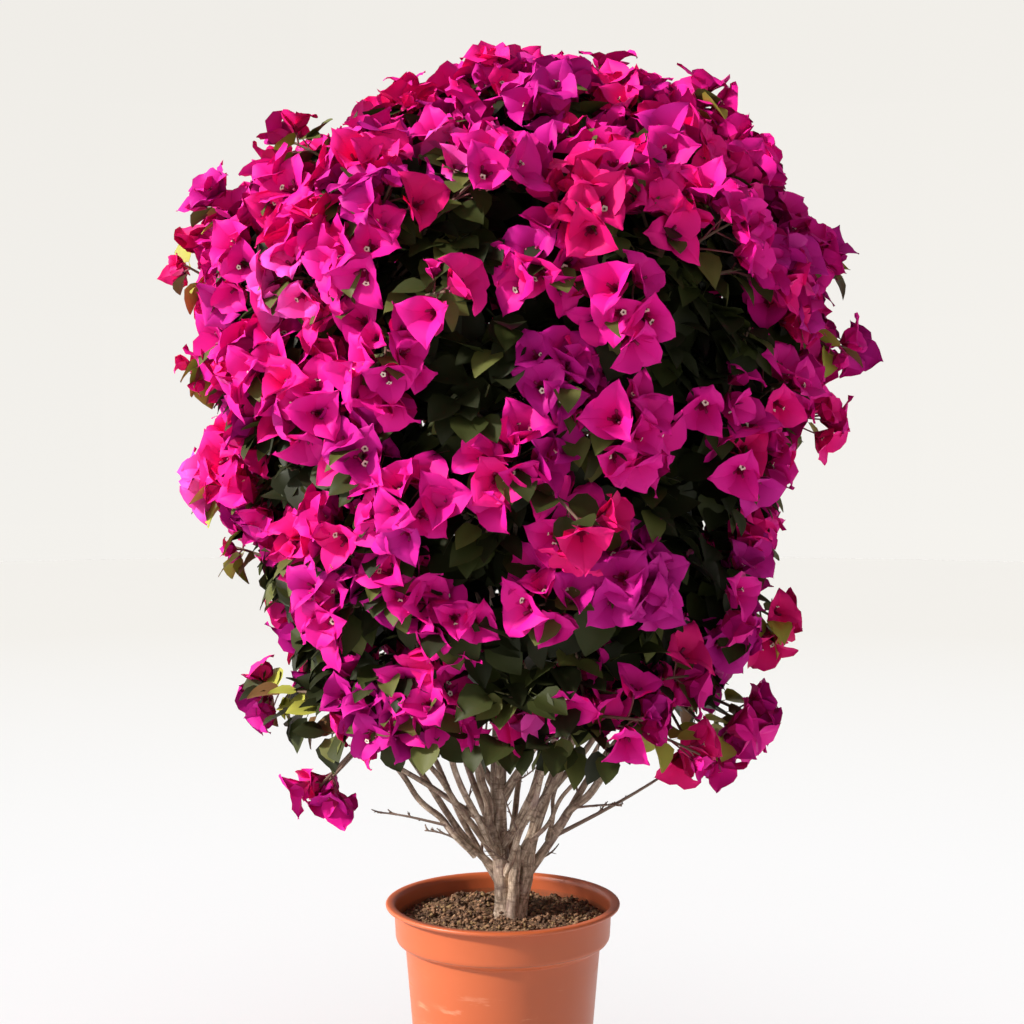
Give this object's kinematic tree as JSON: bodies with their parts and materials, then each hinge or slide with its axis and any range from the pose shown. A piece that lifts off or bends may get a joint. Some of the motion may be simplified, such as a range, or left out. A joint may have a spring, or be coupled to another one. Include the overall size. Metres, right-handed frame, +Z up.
{
  "type": "potted bougainvillea bush",
  "caption": "Flowering bougainvillea bush: a dense egg-shaped crown of magenta bracts over a low fan of boughs, in a round plastic nursery pot with a turned-out lip.",
  "frame": {"origin": "centre of the pot's flat underside, which the plant stands on", "axes": "+Z up along the pot's axis; -Y is the front that the picture shows, with +X to its right"},
  "size_m": [0.6942, 0.6489, 1.0472],
  "materials": {
    "pot": "satin",
    "soil": "matte",
    "bark": "matte",
    "blossom": "matte",
    "leaf": "matte"
  },
  "bodies": {
    "root": {"pot": "pot", "soil": "soil", "trunk": "bark", "bough_skirt_1": "bark", "bough_skirt_2": "bark", "bough_skirt_3": "bark", "bough_skirt_4": "bark", "bough_skirt_5": "bark", "bough_lower_flank_1": "bark", "bough_lower_flank_2": "bark", "bough_lower_flank_3": "bark", "bough_lower_flank_4": "bark", "bough_lower_flank_5": "bark", "bough_lower_flank_6": "bark", "bough_upper_flank_1": "bark", "bough_upper_flank_2": "bark", "bough_upper_flank_3": "bark", "bough_upper_flank_4": "bark", "bough_upper_flank_5": "bark", "bough_upper_flank_6": "bark", "bough_shoulder_1": "bark", "bough_shoulder_2": "bark", "bough_shoulder_3": "bark", "bough_shoulder_4": "bark", "bough_shoulder_5": "bark", "bough_shoulder_6": "bark", "bough_crest_1": "bark", "bough_crest_2": "bark", "bough_crest_3": "bark", "foliage_skirt_1": "leaf", "foliage_skirt_2": "leaf", "foliage_skirt_3": "leaf", "foliage_skirt_4": "leaf", "foliage_skirt_5": "leaf", "foliage_lower_flank_1": "blossom", "foliage_lower_flank_2": "blossom", "foliage_lower_flank_3": "blossom", "foliage_lower_flank_4": "blossom", "foliage_lower_flank_5": "blossom", "foliage_lower_flank_6": "blossom", "foliage_upper_flank_1": "blossom", "foliage_upper_flank_2": "blossom", "foliage_upper_flank_3": "blossom", "foliage_upper_flank_4": "blossom", "foliage_upper_flank_5": "blossom", "foliage_upper_flank_6": "blossom", "foliage_shoulder_1": "blossom", "foliage_shoulder_2": "blossom", "foliage_shoulder_3": "blossom", "foliage_shoulder_4": "blossom", "foliage_shoulder_5": "blossom", "foliage_shoulder_6": "blossom", "foliage_crest_1": "blossom", "foliage_crest_2": "blossom", "foliage_crest_3": "blossom", "foliage_crest_top": "blossom"}
  },
  "joints": []
}
